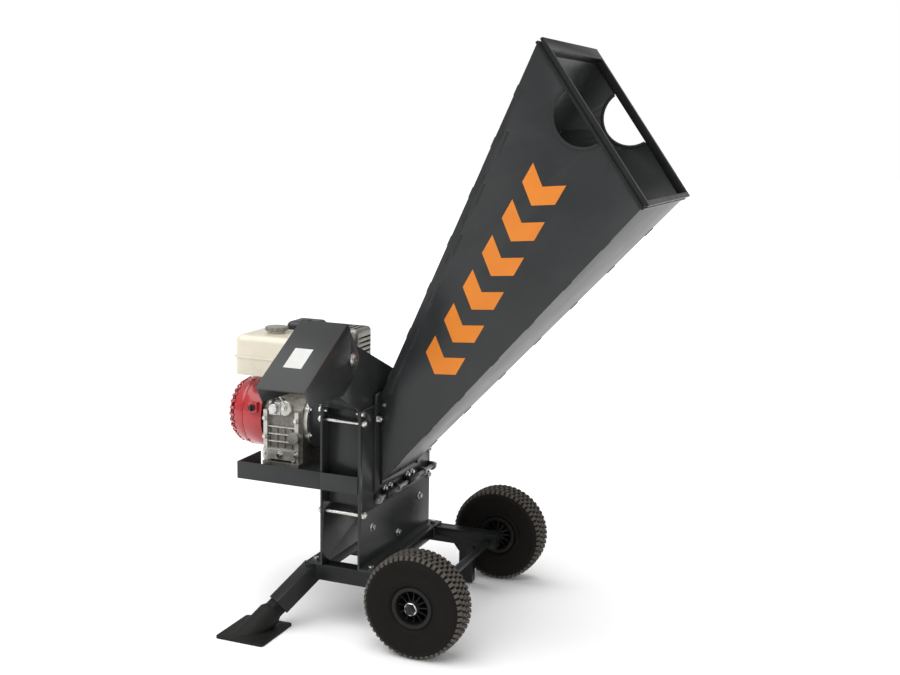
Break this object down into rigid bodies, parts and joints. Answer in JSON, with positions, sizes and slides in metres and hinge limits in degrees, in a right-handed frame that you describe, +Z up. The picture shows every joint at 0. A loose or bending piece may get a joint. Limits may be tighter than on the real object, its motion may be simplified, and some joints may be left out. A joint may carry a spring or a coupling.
{
  "type": "wood chipper",
  "caption": "Petrol wood chipper: disc rotor in a plate housing, tall square feed hopper, tilting chip hood, level-shaft engine, two wheels and two splayed legs.",
  "frame": {"origin": "on the ground, midway between the wheels, straight below the axle", "axes": "+Z up, +X towards the feed hopper, -X towards the engine, -Y the side that chips leave by"},
  "size_m": [1.1699, 0.931, 1.457],
  "materials": {
    "frame_paint": "satin charcoal powder coat",
    "hopper_paint": "satin charcoal powder coat",
    "zinc": "bright zinc plate",
    "steel": "ground steel",
    "blade_steel": "ground tool steel",
    "tyre_rubber": "matt",
    "rim_plastic": "moulded",
    "curtain_rubber": "matt",
    "engine_casting": "sand cast",
    "engine_red": "gloss",
    "tank_cream": "gloss",
    "black_plastic": "moulded",
    "grey_plastic": "moulded",
    "muffler_steel": "heat dulled"
  },
  "bodies": {
    "chassis": {"side_beams": "frame_paint", "cross_beams": "frame_paint", "rest_posts": "frame_paint", "axle": "steel", "axle_nuts": "zinc", "leg_sleeves": "frame_paint", "leg_pins": "zinc", "hopper_side_plate": "frame_paint", "engine_side_plate": "frame_paint", "chamber_band": "frame_paint", "spacer_rods": "zinc", "rod_nuts": "zinc", "frame_bolts": "zinc", "engine_tray": "frame_paint", "chamber_apron": "frame_paint", "shaft_bearing": "steel", "bed_knife": "blade_steel", "coupling_guard": "frame_paint", "chute": "hopper_paint", "hood_bolts": "zinc", "hinge_pin": "steel", "crankcase": "engine_casting", "crankcase_cover": "engine_casting", "cylinder": "engine_casting", "fan_cover": "engine_red", "recoil_cover": "engine_red", "fuel_tank": "tank_cream", "air_cleaner": "black_plastic", "carburettor": "engine_casting", "muffler": "muffler_steel", "muffler_guard": "muffler_steel", "engine_bolts": "zinc"},
    "wheel_near": {"tyre_near": "tyre_rubber", "rim_near": "rim_plastic"},
    "wheel_far": {"tyre_far": "tyre_rubber", "rim_far": "rim_plastic"},
    "leg_near": {"leg_foot_near": "frame_paint"},
    "leg_far": {"leg_foot_far": "frame_paint"},
    "rotor": {"rotor_disc": "steel", "rotor_blades": "blade_steel", "blade_bolts": "zinc", "fan_paddles": "steel", "rotor_shaft": "steel", "crankshaft": "steel", "flywheel": "engine_casting"},
    "hood": {"hood": "hopper_paint"},
    "hopper": {"hopper_near_panel": "hopper_paint", "hopper_far_panel": "hopper_paint", "hopper_top_panel": "hopper_paint", "hopper_bottom_panel": "hopper_paint", "mouth_rim": "hopper_paint", "throat_flange": "frame_paint", "hopper_hinge": "frame_paint"},
    "curtain": {"feed_curtain": "curtain_rubber"},
    "latch": {"latch_bolt": "zinc"},
    "starter": {"starter_grip": "black_plastic"},
    "fuel_cap": {"fuel_cap": "grey_plastic"},
    "oil_cap": {"oil_cap": "black_plastic"},
    "throttle": {"throttle_lever": "black_plastic"},
    "switch": {"stop_switch": "black_plastic"}
  },
  "joints": [
    {"name": "wheel_near_spin", "type": "hinge", "parent": "chassis", "child": "wheel_near", "pos_m": [0, -0.293, 0.13], "axis": [0, 1, 0], "continuous": true},
    {"name": "wheel_far_spin", "type": "hinge", "parent": "chassis", "child": "wheel_far", "pos_m": [0, 0.293, 0.13], "axis": [0, 1, 0], "continuous": true},
    {"name": "leg_near_slide", "type": "slide", "parent": "chassis", "child": "leg_near", "axis": [-0.448, -0.6508, -0.613], "range_m": [-0.01, 0.03]},
    {"name": "leg_far_slide", "type": "slide", "parent": "chassis", "child": "leg_far", "axis": [-0.448, 0.6508, -0.613], "range_m": [-0.01, 0.03]},
    {"name": "rotor_spin", "type": "hinge", "parent": "chassis", "child": "rotor", "pos_m": [-0.2, 0, 0.482], "axis": [1, 0, 0], "continuous": true},
    {"name": "hood_tilt", "type": "hinge", "parent": "chassis", "child": "hood", "pos_m": [-0.246, -0.284, 0.709], "axis": [1, 0, 0], "range_deg": [-45, 15]},
    {"name": "hopper_open", "type": "hinge", "parent": "chassis", "child": "hopper", "pos_m": [-0.178, 0, 0.322], "axis": [0, 1, 0], "range_deg": [0, 45]},
    {"name": "latch_turn", "type": "hinge", "parent": "hopper", "child": "latch", "pos_m": [-0.18, -0.135, 0.53], "axis": [1, 0, 0], "continuous": true},
    {"name": "curtain_swing", "type": "hinge", "parent": "hopper", "child": "curtain", "pos_m": [-0.0575, 0, 0.762], "axis": [0, 1, 0], "range_deg": [-14, 18]},
    {"name": "starter_pull", "type": "slide", "parent": "chassis", "child": "starter", "axis": [0, 0.9439, 0.3304], "range_m": [0, 0.06], "stiffness_N_per_m": 40},
    {"name": "fuel_cap_turn", "type": "hinge", "parent": "chassis", "child": "fuel_cap", "pos_m": [-0.54, -0.02, 0.713], "axis": [0, 0, 1], "range_deg": [0, 90]},
    {"name": "oil_cap_turn", "type": "hinge", "parent": "chassis", "child": "oil_cap", "pos_m": [-0.447, -0.095, 0.44], "axis": [0, 1, 0], "continuous": true},
    {"name": "throttle_turn", "type": "hinge", "parent": "chassis", "child": "throttle", "pos_m": [-0.511, -0.0915, 0.522], "axis": [0, 1, 0], "range_deg": [-25, 25]},
    {"name": "switch_turn", "type": "hinge", "parent": "chassis", "child": "switch", "pos_m": [-0.569, -0.105, 0.512], "axis": [0, 1, 0], "range_deg": [0, 60]}
  ]
}
